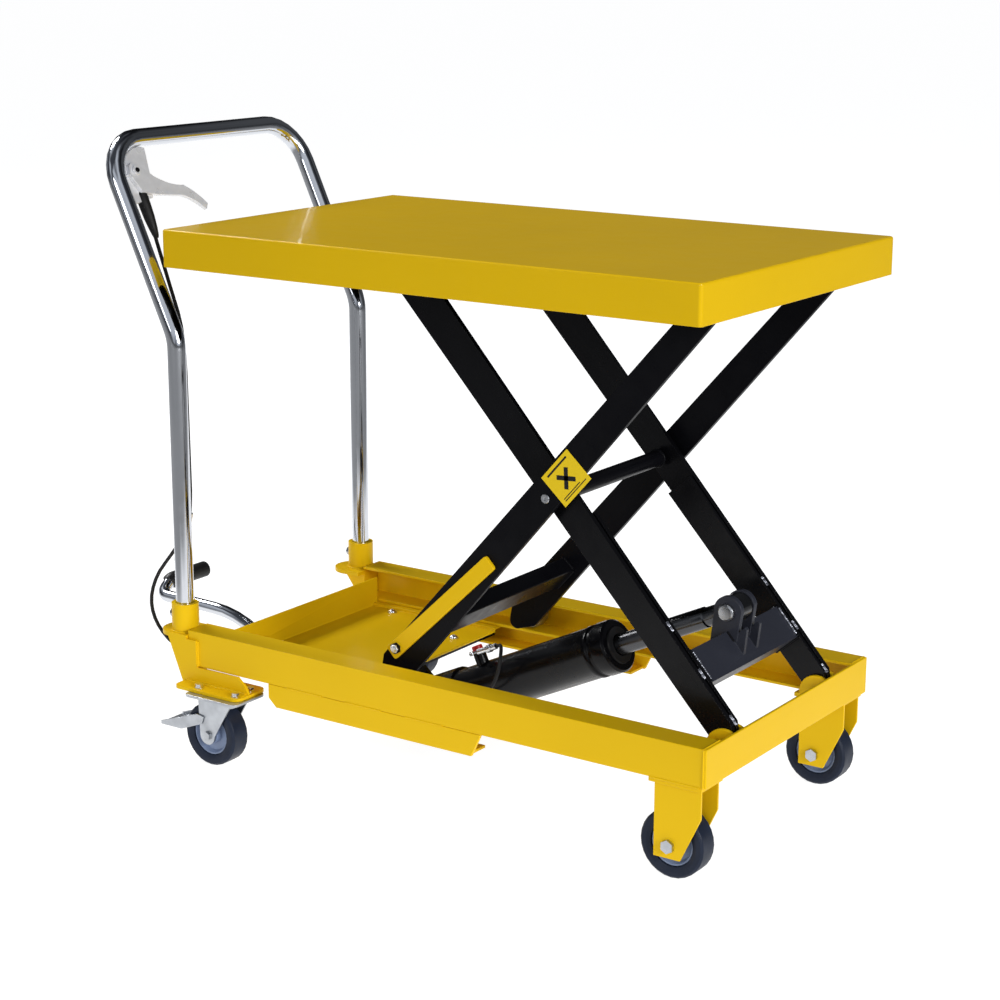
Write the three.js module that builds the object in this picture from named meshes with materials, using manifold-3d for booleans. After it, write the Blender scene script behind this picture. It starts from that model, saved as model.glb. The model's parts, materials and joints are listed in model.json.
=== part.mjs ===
// Scissor lift table: a hand-pushed, foot-pumped hydraulic platform trolley.
// Millimetres. +X points from the push handle towards the fixed wheels, +Y to the left of that
// direction, +Z up. The origin is on the floor, under the middle of the whole trolley.
import * as THREE from "three";
import { mergeVertices } from "three/addons/utils/BufferGeometryUtils.js";
import Module from "manifold-3d";

const wasm = await Module();
wasm.setup();

// ---------------------------------------------------------------- driving dimensions
const GAP = 0.3;

const table = { rear: -290, length: 815, width: 500, top: 741, height: 50, sheet: 3, corner: 5 };
table.front = table.rear + table.length;
table.half = table.width / 2;
table.under = table.top - table.sheet;

const base = { front: 528, rear: -297, half: 217, top: 180, bottom: 130, plate: 4, flange: 40 };

// The four pivots of the scissor. Each arm is a bar between its pin and its roller.
const pivot = { x: 507, low: 155, high: 717, bolt: 6, clearance: 6.4 };
const roller = { x: 6, lowRadius: 20, highRadius: 17 };
const span = pivot.x - roller.x;
const rise = pivot.high - pivot.low;
const arm = { length: Math.hypot(span, rise), half: 25, nose: 12 };
const armAngle = Math.atan2(rise, span);
const centre = { x: (pivot.x + roller.x) / 2, z: (pivot.low + pivot.high) / 2 };
const outerArm = { inside: 149, outside: 157 };
const innerArm = { inside: 125, outside: 133, doublerInside: 115, doublerOutside: 121 };

// The hydraulic unit: its base pin, the pin through the lugs and the slope of its bore.
const unit = { pinX: -55, pinZ: 60, lugX: 444, lugZ: 288, slope: 0.4737 };
unit.angle = Math.atan(unit.slope);
unit.ramRadius = 14;
unit.barrelRadius = 35;
unit.boreRadius = 25.5;
unit.ramLength = 262;

// The release valve: how far back from the ram's pin it is, how far above the bore and how far
// to the near side it stands, and how far its arm reaches.
const valve = { back: 415, above: 49.4, side: 4, reach: 16 };

const wheel = { radius: 44.5, width: 32, hubRadius: 29, bore: 6.4 };
const frontWheel = { x: 476, y: 191 };
const caster = { x: -226, y: 224, trail: 16, plateTop: 103.7, plate: 4, long: 92, wide: 67 };

const handle = { x: -318, y: 198, tube: 12.7, foot: 168, bend: 585, top: 844, topX: -440 };
const handleBends = { elbow: 70, corner: 62 };

const pedal = { hingeX: -100, hingeZ: 62, gripX: -516, gripZ: 168, gripEnd: 60, y: -36, tube: 9 };

// ---------------------------------------------------------------- colours
const paint = {
  yellow: new THREE.MeshStandardMaterial({ color: 0xe0b010, roughness: 0.35, metalness: 0.0 }),
  black: new THREE.MeshStandardMaterial({ color: 0x0c0c0e, roughness: 0.3, metalness: 0.0 }),
  chrome: new THREE.MeshStandardMaterial({ color: 0xd8dade, roughness: 0.12, metalness: 1.0 }),
  zinc: new THREE.MeshStandardMaterial({ color: 0xb9bdc2, roughness: 0.35, metalness: 1.0 }),
  steel: new THREE.MeshStandardMaterial({ color: 0x9a9da1, roughness: 0.4, metalness: 1.0 }),
  tread: new THREE.MeshStandardMaterial({ color: 0x2b3038, roughness: 0.6, metalness: 0.0 }),
  hub: new THREE.MeshStandardMaterial({ color: 0x5a6076, roughness: 0.5, metalness: 0.0 }),
  rubber: new THREE.MeshStandardMaterial({ color: 0x101012, roughness: 0.7, metalness: 0.0 }),
};

// ---------------------------------------------------------------- solids and shapes
const object = new THREE.Group();

// A closed geometry as a solid that can be cut and joined.
function solid(geometry) {
  geometry.deleteAttribute("normal");
  geometry.deleteAttribute("uv");
  const merged = mergeVertices(geometry, 1e-3);
  const vertProperties = new Float32Array(merged.attributes.position.array);
  const triVerts = new Uint32Array(merged.index.array);
  return new wasm.Manifold(new wasm.Mesh({ numProp: 3, vertProperties, triVerts }));
}

// A solid as a geometry that a mesh can show.
function geometryOf(made) {
  const mesh = made.getMesh();
  const positions = new Float32Array(mesh.numVert * 3);
  for (let i = 0; i < mesh.numVert; i++) {
    for (let k = 0; k < 3; k++) positions[3 * i + k] = mesh.vertProperties[i * mesh.numProp + k];
  }
  const g = new THREE.BufferGeometry();
  g.setAttribute("position", new THREE.BufferAttribute(positions, 3));
  g.setIndex(new THREE.BufferAttribute(new Uint32Array(mesh.triVerts), 1));
  g.computeVertexNormals();
  return g;
}

const join = (...parts) => parts.reduce((sum, next) => sum.add(next));
const cut = (body, ...tools) => tools.reduce((left, tool) => left.subtract(tool), body);

function add(name, made, material, parent = object) {
  const mesh = new THREE.Mesh(geometryOf(made), material);
  mesh.name = name;
  parent.add(mesh);
  return mesh;
}

// A box between two corners.
function block([x0, y0, z0], [x1, y1, z1]) {
  const g = new THREE.BoxGeometry(x1 - x0, y1 - y0, z1 - z0);
  g.translate((x0 + x1) / 2, (y0 + y1) / 2, (z0 + z1) / 2);
  return solid(g);
}

// A flat outline pushed along +Z from z0 to z1.
function slab(shape, z0, z1, curveSegments = 8) {
  const g = new THREE.ExtrudeGeometry(shape, { depth: z1 - z0, bevelEnabled: false, curveSegments });
  g.translate(0, 0, z0);
  return solid(g);
}

// An outline drawn in X and Z, pushed along Y from y0 to y1.
function sidePlate(shape, y0, y1, curveSegments = 8) {
  const g = new THREE.ExtrudeGeometry(shape, { depth: y1 - y0, bevelEnabled: false, curveSegments });
  g.rotateX(Math.PI / 2);
  g.translate(0, y1, 0);
  return solid(g);
}

// An outline drawn in Y and Z, pushed along X from x0 to x1.
function profile(shape, x0, x1, curveSegments = 8) {
  const g = new THREE.ExtrudeGeometry(shape, { depth: x1 - x0, bevelEnabled: false, curveSegments });
  g.rotateX(Math.PI / 2);
  g.rotateZ(Math.PI / 2);
  g.translate(x0, 0, 0);
  return solid(g);
}

function outline(points) {
  return new THREE.Shape(points.map(([a, b]) => new THREE.Vector2(a, b)));
}

// A rectangle with rounded corners.
function roundedRect(x0, y0, x1, y1, r) {
  const s = new THREE.Shape();
  s.moveTo(x0 + r, y0);
  s.lineTo(x1 - r, y0);
  s.absarc(x1 - r, y0 + r, r, -Math.PI / 2, 0, false);
  s.lineTo(x1, y1 - r);
  s.absarc(x1 - r, y1 - r, r, 0, Math.PI / 2, false);
  s.lineTo(x0 + r, y1);
  s.absarc(x0 + r, y1 - r, r, Math.PI / 2, Math.PI, false);
  s.lineTo(x0, y0 + r);
  s.absarc(x0 + r, y0 + r, r, Math.PI, 1.5 * Math.PI, false);
  return s;
}

// A round bar along Y at (x, z), from y0 to y1.
function barY(x, z, r, y0, y1, sides = 20) {
  const g = new THREE.CylinderGeometry(r, r, y1 - y0, sides);
  g.translate(x, (y0 + y1) / 2, z);
  return solid(g);
}

// A round bar along Z at (x, y), from z0 to z1.
function barZ(x, y, r, z0, z1, sides = 20) {
  const g = new THREE.CylinderGeometry(r, r, z1 - z0, sides);
  g.rotateX(Math.PI / 2);
  g.translate(x, y, (z0 + z1) / 2);
  return solid(g);
}

// A ring turned about Y from [radius, y] points that close on themselves.
function turned(points, x, z, sides = 32) {
  const g = new THREE.LatheGeometry(points.map(([r, y]) => new THREE.Vector2(r, y)), sides);
  g.translate(x, 0, z);
  return solid(g);
}

// A round bar through a list of points, with each ring square to the way the bar runs there.
function sweep(points, r, sides = 16) {
  const positions = [];
  const faces = [];
  const step = (i) => points[i + 1].clone().sub(points[i]).normalize();
  const sideways = new THREE.Vector3(0, 1, 0);
  const across = sideways.cross(step(0)).normalize();
  const last = points.length - 1;
  points.forEach((p, i) => {
    const along = step(Math.max(i - 1, 0)).add(step(Math.min(i, last - 1))).normalize();
    across.addScaledVector(along, -across.dot(along)).normalize();
    const other = along.clone().cross(across);
    for (let k = 0; k < sides; k++) {
      const turn = (2 * Math.PI * k) / sides;
      const v = p.clone().addScaledVector(across, r * Math.cos(turn));
      v.addScaledVector(other, r * Math.sin(turn));
      positions.push(v.x, v.y, v.z);
    }
  });
  for (let k = 0; k < sides; k++) {
    const next = (k + 1) % sides;
    for (let i = 0; i < last; i++) {
      const a = i * sides;
      const b = a + sides;
      faces.push(a + k, a + next, b + next, a + k, b + next, b + k);
    }
    if (k > 0 && next > 0) faces.push(0, next, k, last * sides, last * sides + k, last * sides + next);
  }
  const g = new THREE.BufferGeometry();
  g.setAttribute("position", new THREE.Float32BufferAttribute(positions, 3));
  g.setIndex(faces);
  return solid(g);
}

// Straight runs between points, with an arc of the given radius in place of each inner point.
function bentPath(corners, radii, steps = 7) {
  const p = corners.map(([x, y, z]) => new THREE.Vector3(x, y, z));
  const path = [p[0]];
  for (let i = 1; i < p.length - 1; i++) {
    const back = p[i - 1].clone().sub(p[i]).normalize();
    const on = p[i + 1].clone().sub(p[i]).normalize();
    const half = back.angleTo(on) / 2;
    const radius = radii[i - 1];
    const middle = p[i].clone().addScaledVector(back.clone().add(on).normalize(), radius / Math.sin(half));
    const from = p[i].clone().addScaledVector(back, radius / Math.tan(half)).sub(middle);
    const to = p[i].clone().addScaledVector(on, radius / Math.tan(half)).sub(middle);
    const swing = Math.PI - 2 * half;
    for (let k = 0; k <= steps; k++) {
      const a = Math.sin((1 - k / steps) * swing) / Math.sin(swing);
      const b = Math.sin((k / steps) * swing) / Math.sin(swing);
      path.push(middle.clone().addScaledVector(from, a).addScaledVector(to, b));
    }
  }
  path.push(p[p.length - 1]);
  return path;
}

const mirrored = (made) => made.mirror([0, 1, 0]);
// Makes a piece on the near side (-Y) and its mirror on the far side (+Y).
function addPair(name, madeNear, material) {
  add(name + "_near", madeNear, material);
  add(name + "_far", mirrored(madeNear), material);
}

// ---------------------------------------------------------------- table
function makeTable() {
  const { rear, front, half, top, height, sheet, corner } = table;
  const outer = slab(roundedRect(rear, -half, front, half, corner), top - height, top, 4);
  const inner = roundedRect(rear + sheet, -half + sheet, front - sheet, half - sheet, corner - sheet);
  add("table_top", cut(outer, slab(inner, top - height - 1, top - sheet, 2)), paint.yellow);

  // Channels for the inner arms' rollers, open towards the arms.
  const z1 = table.under - GAP;
  const z0 = pivot.high - roller.highRadius - 4;
  const channel = outline([
    [-92, z0], [-92, z1], [-121, z1], [-121, z1 - 3], [-95, z1 - 3], [-95, z0 + 3], [-121, z0 + 3],
    [-121, z0],
  ]);
  addPair("guide_rail", profile(channel, -272, 140), paint.yellow);

  // A two-eared bracket with its pin, for the outer arms.
  const ear = new THREE.Shape();
  ear.moveTo(488, z1);
  ear.lineTo(pivot.x - 13, pivot.high);
  ear.absarc(pivot.x, pivot.high, 13, Math.PI, 2 * Math.PI, false);
  ear.lineTo(520, z1);
  const plates = [[-162.3, -157.3], [-148.7, -143.7]].map(([y0, y1]) => sidePlate(ear, y0, y1));
  const foot = block([488, -162.3, z1 - 4], [520, -143.7, z1]);
  const pin = barY(pivot.x, pivot.high, pivot.bolt, -166, -140, 16);
  addPair("upper_pivot_bracket", join(...plates, foot, pin), paint.black);
}

// ---------------------------------------------------------------- scissor arms
// An arm's outline, drawn from its pin at (0, 0) to its roller at (length, 0). The four numbers are
// how far from each end the bar reaches its full depth, on the side of +v and of -v.
function armOutline(pinPlus, pinMinus, rollerPlus, rollerMinus) {
  const { length, half, nose } = arm;
  const turn = Math.PI * 0.36;
  const s = new THREE.Shape();
  s.moveTo(pinPlus, half);
  s.absarc(0, 0, nose, Math.PI - turn, Math.PI + turn, false);
  s.lineTo(pinMinus, -half);
  s.lineTo(length - rollerMinus, -half);
  s.absarc(length, 0, nose, -turn, turn, false);
  s.lineTo(length - rollerPlus, half);
  return s;
}

// Turns a piece drawn along +X so that it runs from a front pivot to its roller.
function placeArm(made, z, angle) {
  return made.rotate([0, (-angle * 180) / Math.PI, 0]).translate([pivot.x, 0, z]);
}
const placeInner = (made) => placeArm(made, pivot.low, Math.PI - armAngle);
const placeOuter = (made) => placeArm(made, pivot.high, Math.PI + armAngle);

const taper = { long: 48, short: 18 };
const hole = (u, radius = pivot.clearance) => barY(u, 0, radius, -230, -90, 16);

function makeInnerArms() {
  const shape = armOutline(taper.short, taper.short, taper.short, taper.long);
  const plate = sidePlate(shape, -innerArm.outside, -innerArm.inside);
  const lowerPart = block([-20, -130, -30], [330, -110, 30]);
  const doubler = sidePlate(shape, -innerArm.doublerOutside, -innerArm.doublerInside);
  const web = block([24, -innerArm.inside - 1, -14], [318, -innerArm.doublerOutside + 1, 12]);
  const stub = barY(arm.length, 0, pivot.bolt, -innerArm.inside - 1, -96.5, 16);
  const pair = join(plate, doubler.intersect(lowerPart), web);
  addPair("inner_arm", placeInner(join(cut(pair, hole(0), hole(arm.length / 2)), stub)), paint.black);

  // The box between the inner arms, with the two lugs that the ram pushes on.
  const reach = innerArm.doublerInside - GAP;
  const box = block([74, -reach, -24], [122, reach, 18]);
  const lug = new THREE.Shape();
  const pin = lugPin();
  lug.moveTo(104, -20);
  lug.lineTo(104, -27);
  lug.absarc(pin.u, pin.v, 20, Math.PI * 1.32, Math.PI * 2.32, false);
  lug.lineTo(121, 10);
  const lugs = [[-21, -13], [13, 21]].map(([y0, y1]) => sidePlate(lug, y0, y1, 10));
  const fin = outline([[84, -22], [108, -49], [112, -49], [112, -22]]);
  const fins = [[-20, -14], [14, 20]].map(([y0, y1]) => sidePlate(fin, y0, y1));
  const bore = barY(pin.u, pin.v, 8, -40, 40, 20);
  add("inner_crossmember", placeInner(cut(join(box, ...lugs, ...fins), bore)), paint.black);

  const rod = barY(unit.lugX, unit.lugZ, 7.6, -27, 27, 20);
  const heads = [[-27, -21.3], [21.3, 27]].map(([y0, y1]) => barY(unit.lugX, unit.lugZ, 11, y0, y1, 20));
  add("clevis_pin", join(rod, ...heads), paint.zinc);

  // The bar through the middle of all four arms, stepped so that it also spaces them.
  const steps = [
    [11, innerArm.doublerInside - GAP],
    [pivot.bolt, outerArm.outside - 1],
  ].map(([r, y]) => barY(centre.x, centre.z, r, -y, y, 20));
  const spacers = [-1, 1].map((side) => {
    const s = barY(centre.x, centre.z, 12, -outerArm.inside + GAP, -innerArm.outside - GAP, 20);
    return side < 0 ? s : mirrored(s);
  });
  add("centre_tube", join(...steps, ...spacers), paint.black);
}

// The ram's pin in the inner arm's own directions: u along the arm, v across it.
function lugPin() {
  const dx = unit.lugX - pivot.x;
  const dz = unit.lugZ - pivot.low;
  const along = new THREE.Vector2(-Math.cos(armAngle), Math.sin(armAngle));
  return { u: dx * along.x + dz * along.y, v: -dx * along.y + dz * along.x };
}

const bar = { boltX: 26, boltZ: 200, length: 206, half: 10.5, tilt: 43.4 };

function makeOuterArms() {
  const shape = armOutline(taper.short, taper.long, taper.short, taper.short);
  const plate = sidePlate(shape, -outerArm.outside, -outerArm.inside);
  const stub = barY(arm.length, 0, pivot.bolt, -209, -outerArm.outside + 1, 16);
  const made = placeOuter(join(cut(plate, hole(0), hole(arm.length / 2)), stub));
  const bolt = barY(bar.boltX, bar.boltZ, 4, -164, -outerArm.outside + 1, 12);
  const boltHead = barY(bar.boltX, bar.boltZ, 8, -168, -163.3, 6);
  add("outer_arm_near", join(made, bolt, boltHead), paint.black);
  add("outer_arm_far", mirrored(made), paint.black);

  const reach = outerArm.inside - GAP;
  const box = block([arm.length - 134, -reach, -12], [arm.length - 92, reach, 12]);
  add("outer_crossmember", placeOuter(box), paint.black);

  const flat = sidePlate(roundedRect(-14, -bar.half, bar.length, bar.half, 3), -163, -157.3, 2);
  const drilled = cut(flat, barY(0, 0, 4.4, -170, -150, 12));
  const folded = drilled.rotate([0, -bar.tilt, 0]).translate([bar.boltX, 0, bar.boltZ]);
  add("safety_bar", folded, paint.yellow);
}

function makeRollers() {
  const ring = (r, y0, y1, z) => {
    const chamfer = 2;
    const inner = pivot.clearance;
    const points = [
      [inner, y0], [r - chamfer, y0], [r, y0 + chamfer], [r, y1 - chamfer], [r - chamfer, y1], [inner, y1],
      [inner, y0],
    ];
    return turned(points, roller.x, z, 24);
  };
  addPair("lower_roller", ring(roller.lowRadius, -206, -182, pivot.low), paint.steel);
  addPair("upper_roller", ring(roller.highRadius, -119, -97, pivot.high), paint.steel);
}

// ---------------------------------------------------------------- base frame
const tray = { rear: -272, front: -45, floor: 122.7, sheet: 3, half: 169, wallTop: 168 };

function makeBase() {
  const { front, rear, half, top, bottom, plate, flange } = base;
  const lip = -half + flange;
  const web = -half + plate;
  const channel = outline([
    [-half, bottom], [lip, bottom], [lip, bottom + plate], [web, bottom + plate],
    [web, top - plate], [lip, top - plate], [lip, top], [-half, top],
  ]);
  addPair("base_side_rail", profile(channel, rear, front - plate - GAP), paint.yellow);
  add("base_front_member", block([front - plate, -half, bottom], [front, half, top]), paint.yellow);

  const t = tray;
  const ledge = bottom - GAP;
  const trayParts = [
    block([t.rear, -t.half, t.floor], [t.front, t.half, t.floor + t.sheet]),
    block([t.rear, -t.half, t.floor], [t.rear + t.sheet, t.half, t.wallTop]),
  ];
  for (const side of [-1, 1]) {
    const y = (a, b) => (side < 0 ? [-b, -a] : [a, b]);
    const [s0, s1] = y(t.half - t.sheet, t.half);
    const [f0, f1] = y(t.half - t.sheet, 210);
    const [r0, r1] = y(t.half, 176);
    trayParts.push(block([t.rear, s0, t.floor], [t.front, s1, ledge]));
    trayParts.push(block([t.rear, f0, ledge - t.sheet], [t.front, f1, ledge]));
    trayParts.push(block([t.rear, r0, ledge - t.sheet], [t.rear + t.sheet, r1, t.wallTop]));
  }
  add("rear_tray", join(...trayParts), paint.yellow);

  // A stiffening angle under the middle of each rail, and the beam that hangs from the two.
  const side = outline([[-140, 98], [185, 98], [200, ledge], [-153, ledge], [-153, 110]]);
  const angle = join(sidePlate(side, -half, -half + 5), block([-138, -half + 1, 98], [182, -180, 102]));
  addPair("rail_stiffener", angle, paint.yellow);

  const beam = block([-116, -211.7, 102.3], [-76, 211.7, 122.4]);
  const hanger = outline([[-113, 104], [-113, 90], [-70, 44], [-46, 44], [-38, 52], [-38, 68], [-79, 104]]);
  const ears = [[-67, -61], [33, 39]].map(([y0, y1]) => sidePlate(hanger, y0, y1));
  const pinBore = barY(unit.pinX, unit.pinZ, pivot.clearance, -80, 60, 16);
  add("pump_hanger", cut(join(beam, ...ears), pinBore), paint.black);

  // Front ears for the inner arms, with their pins.
  const ear = new THREE.Shape();
  ear.moveTo(front - plate - GAP, 131);
  ear.lineTo(pivot.x, pivot.low - 24);
  ear.absarc(pivot.x, pivot.low, 24, -Math.PI / 2, Math.PI / 3, true);
  ear.lineTo(front - plate - GAP, 172);
  const plates = [[-139.3, -134.3], [-113.7, -108.7]].map(([y0, y1]) => sidePlate(ear, y0, y1, 12));
  const back = block([520.5, -139.3, 131], [front - plate - GAP, -108.7, 170]);
  const bore = barY(pivot.x, pivot.low, pivot.clearance, -150, -100, 16);
  addPair("lower_pivot_bracket", cut(join(...plates, back), bore), paint.yellow);
  const pin = barY(pivot.x, pivot.low, pivot.bolt, -143, -105, 16);
  const heads = [[-143, -139.6], [-108.4, -105]].map(([y0, y1]) => barY(pivot.x, pivot.low, 9, y0, y1, 16));
  addPair("lower_pivot_pin", join(pin, ...heads), paint.zinc);
}

// ---------------------------------------------------------------- rear corners and push handle
const sleeve = { outer: 19, inner: 13.4, foot: 167, plate: 6, top: 213 };

function makeCorners() {
  const x = handle.x;
  const y = -handle.y;
  const { foot, plate, top } = sleeve;
  const wall = base.rear - GAP;
  const side = -base.half - GAP;
  const shelf = slab(roundedRect(x - 38, side - 4, wall, y + 34, 28), foot, foot + plate, 8);
  const squareEnd = block([wall - 32, side - 4, foot], [wall, y + 34, foot + plate]);
  const tube = barZ(x, y, sleeve.outer, foot, top, 24);
  const back = block([wall - 4, side - 4, 104], [wall, -180, foot + 2]);
  const cheek = outline([
    [x - 13, foot + 1], [wall - 8, 105], [-184, 105], [-190, 118], [-204, 129.7], [-279, 129.7],
    [-279, foot + 1],
  ]);
  const web = sidePlate(cheek, side - 4, side);
  const brace = outline([[x - 36, foot + 1], [wall - 9, 105], [wall - 2, 105], [wall - 2, foot + 1]]);
  const gusset = sidePlate(brace, y - 2, y + 2);
  const flange = slab(roundedRect(wall - 4, -247, -184, -183, 12), 104, 108, 4);
  const beyond = block([wall, -base.half - GAP, 135], [wall + 60, -150, 200]);
  const post = barZ(x, y, sleeve.inner, foot - 1, top + 1, 24);
  const bracket = cut(join(shelf, squareEnd, tube, back, web, gusset, flange), beyond, post);
  addPair("corner_bracket", bracket, paint.yellow);
}

function makeHandle() {
  const { x, y, tube, foot, bend, top, topX } = handle;
  const { elbow, corner } = handleBends;
  const path = bentPath(
    [[x, -y, foot], [x, -y, bend], [topX, -y, top], [topX, y, top], [x, y, bend], [x, y, foot]],
    [elbow, corner, corner, elbow],
  );
  add("handle_tube", sweep(path, tube, 24), paint.chrome);
}

// The sloping plane of the handle: a runs along +Y, b up the slope, c out towards the table.
const slope = new THREE.Vector3(handle.topX - handle.x, 0, handle.top - handle.bend).normalize();
const toHandlePlane = new THREE.Matrix4()
  .makeBasis(new THREE.Vector3(0, 1, 0), slope, new THREE.Vector3(0, 1, 0).cross(slope))
  .setPosition(handle.topX, 0, handle.top);
const lever = { a: -167, b: -49, bore: 4.4 };

function inHandlePlane(shape, c0, c1) {
  return slab(shape, c0, c1, 8);
}

function makeLever() {
  const place = (made) => made.transform(toHandlePlane.elements);
  const nook = { a: -136, b: -62, r: 48.9 };
  const plate = new THREE.Shape();
  plate.moveTo(nook.a - nook.r, nook.b);
  plate.absarc(nook.a, nook.b, nook.r, Math.PI, Math.PI / 2, true);
  plate.lineTo(-128, -16);
  plate.lineTo(-136, -58);
  plate.lineTo(-146, -88);
  plate.lineTo(nook.a - nook.r, -94);
  const pin = barZ(lever.a, lever.b, 4, 0, 11.5, 12);
  const pinHead = barZ(lever.a, lever.b, 7, 9.1, 12, 12);
  add("release_lever_bracket", place(join(inHandlePlane(plate, -2.5, 2.5), pin, pinHead)), paint.zinc);

  const blade = new THREE.Shape();
  blade.moveTo(-176, -38);
  blade.absarc(lever.a, lever.b, 12, Math.PI * 0.75, Math.PI * 0.2, true);
  blade.lineTo(-136, -60);
  blade.quadraticCurveTo(-110, -76, -86, -77);
  blade.quadraticCurveTo(-64, -90, -51, -108);
  blade.lineTo(-57, -116);
  blade.quadraticCurveTo(-76, -96, -96, -91);
  blade.lineTo(-140, -86);
  blade.lineTo(-168, -80);
  blade.lineTo(-180, -52);
  const drilled = cut(inHandlePlane(blade, 2.8, 8.8), barZ(lever.a, lever.b, lever.bore, 0, 20, 12));
  add("release_lever", place(drilled), paint.zinc);
}

// The release cable, from the lever down the near post, round and under the tray, and up past the
// barrel's near side to the valve.
const cable = {
  radius: 2.6,
  route: [
    [-396, -165, 750], [-381, -167, 720], [-352, -172, 655], [-327, -178, 600], [-319, -180.5, 540],
    [-318, -180.8, 430], [-318, -180.8, 350], [-325, -181, 314], [-352, -183, 276], [-381, -187, 236],
    [-391, -189, 200], [-386, -185, 168], [-368, -174, 138], [-332, -160, 116], [-286, -142, 106],
    [-200, -110, 102], [-110, -90, 94], [-55, -84, 88], [0, -76, 87], [42, -66, 91], [76, -56, 103],
    [98, -50, 124], [109, -47, 150], [108, -39, 172], [100, -27, 180], [89.4, -20, 176.9], [74.1, -20, 169.6],
    [57.8, -20, 162],
  ],
};

function makeCable() {
  const points = cable.route.map(([x, y, z]) => new THREE.Vector3(x, y, z));
  const path = new THREE.CatmullRomCurve3(points, false, "centripetal");
  add("release_cable", sweep(path.getPoints(80), cable.radius, 8), paint.rubber);
}

// ---------------------------------------------------------------- wheels
// A tyre and a hub for a wheel whose middle is at (x, y, z).
function addWheel(name, x, y, z) {
  const { radius, width, hubRadius, bore } = wheel;
  const w = width / 2;
  const tyrePoints = [
    [hubRadius + GAP, -w + 2], [radius - 9, -w], [radius - 3, -w], [radius, -w + 3],
    [radius, w - 3], [radius - 3, w], [radius - 9, w], [hubRadius + GAP, w - 2], [hubRadius + GAP, -w + 2],
  ];
  const hubPoints = [
    [bore, -w + 0.4], [13, -w + 0.4], [14, -6], [24, -6], [hubRadius - 2, -w + 4], [hubRadius, -w + 4],
    [hubRadius, w - 4], [hubRadius - 2, w - 4], [24, 6], [14, 6], [13, w - 0.4], [bore, w - 0.4],
    [bore, -w + 0.4],
  ];
  add(name.replace("*", "tyre"), turned(tyrePoints, x, z, 28).translate([0, y, 0]), paint.tread);
  add(name.replace("*", "hub"), turned(hubPoints, x, z, 24).translate([0, y, 0]), paint.hub);
}

function makeFrontWheels() {
  const { x, y } = frontWheel;
  const z = wheel.radius;
  const leg = outline([[x - 21, 125], [x - 21, 28], [x + 16, 28], [x + 44, 88], [x + 44, 125]]);
  const legs = [[-y - 22, -y - 19], [-y + 19, -y + 22]].map(([y0, y1]) => sidePlate(leg, y0, y1));
  const top = block([x - 28, -y - 25, 124], [x + 46, -y + 27, 129.7]);
  const fork = cut(join(...legs, top), barY(x, z, wheel.bore, -y - 40, -y + 40, 16));
  addPair("front_fork", fork, paint.yellow);
  const bolt = barY(x, z, pivot.bolt, -y - 27, -y + 27, 16);
  const heads = [[-y - 27, -y - 22.3], [-y + 22.3, -y + 27]].map(([y0, y1]) => barY(x, z, 9, y0, y1, 6));
  addPair("front_axle", join(bolt, ...heads), paint.zinc);
  addWheel("front_*_near", x, -y, z);
  addWheel("front_*_far", x, y, z);
}

function makeCasters() {
  const { x, y, trail, plateTop, plate, long, wide } = caster;
  const axleX = x - trail;
  const z = wheel.radius;
  const plateZ = plateTop - plate;
  const crown = 94.5;
  const plateShape = roundedRect(x - long / 2, -y - wide / 2, x + long / 2, -y + wide / 2, 8);
  const face = slab(plateShape, plateZ, plateTop, 3);
  addPair("caster_plate", join(face, barZ(x, -y, 22, crown + GAP, plateZ + 1, 24)), paint.zinc);

  const leg = new THREE.Shape();
  leg.moveTo(x - 31, crown);
  leg.lineTo(axleX - 13, z);
  leg.absarc(axleX, z, 13, Math.PI, 2 * Math.PI, false);
  leg.lineTo(x + 27, crown);
  const legs = [[-20, -17.5], [17.5, 20]].map(([a, b]) => sidePlate(leg, -y + a, -y + b));
  const brakeAt = { x: axleX - 10, z: z + 23 };
  const brakeBore = barY(brakeAt.x, brakeAt.z, 3.4, -y - 30, -y + 30, 12);
  const axle = barY(axleX, z, pivot.bolt, -y - 24, -y + 24, 16);
  const axleHeads = [[-24, -20], [20, 24]].map(([a, b]) => barY(axleX, z, 7, -y + a, -y + b, 6));
  const roof = slab(roundedRect(x - 31, -y - 20, x + 27, -y + 20, 9), crown - 4, crown, 4);
  addPair("caster_fork", join(cut(join(roof, ...legs), brakeBore), axle, ...axleHeads), paint.zinc);

  const armShape = new THREE.Shape();
  armShape.moveTo(brakeAt.x + 6, brakeAt.z + 4);
  armShape.lineTo(brakeAt.x - 6, brakeAt.z + 6);
  armShape.lineTo(axleX - 84, z + 6);
  armShape.lineTo(axleX - 84, z + 1);
  armShape.lineTo(axleX - 46, z + 1);
  armShape.lineTo(brakeAt.x + 2, brakeAt.z - 7);
  const arms = [[-22.4, -20.4], [20.4, 22.4]].map(([a, b]) => sidePlate(armShape, -y + a, -y + b));
  const tread = block([axleX - 84, -y - 21, z + 1], [axleX - 58, -y + 21, z + 4]);
  const stubs = [[-21, -17.8], [17.8, 21]].map(([a, b]) => barY(brakeAt.x, brakeAt.z, 3, -y + a, -y + b, 12));
  addPair("caster_brake", join(...arms, tread, ...stubs), paint.zinc);
  addWheel("caster_*_near", axleX, -y, z);
  addWheel("caster_*_far", axleX, y, z);
}

// ---------------------------------------------------------------- hydraulic unit
// Stands a piece that is drawn along +Y, from the ram's pin backwards, on the slope of the unit.
function placeUnit(geometry) {
  geometry.rotateZ(Math.PI / 2);
  geometry.rotateX(Math.PI / 2);
  geometry.rotateY(-unit.angle);
  geometry.translate(unit.lugX, 0, unit.lugZ);
  return solid(geometry);
}

function lathe(points, sides = 32) {
  return new THREE.LatheGeometry(points.map(([r, s]) => new THREE.Vector2(r, s)), sides);
}

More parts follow.
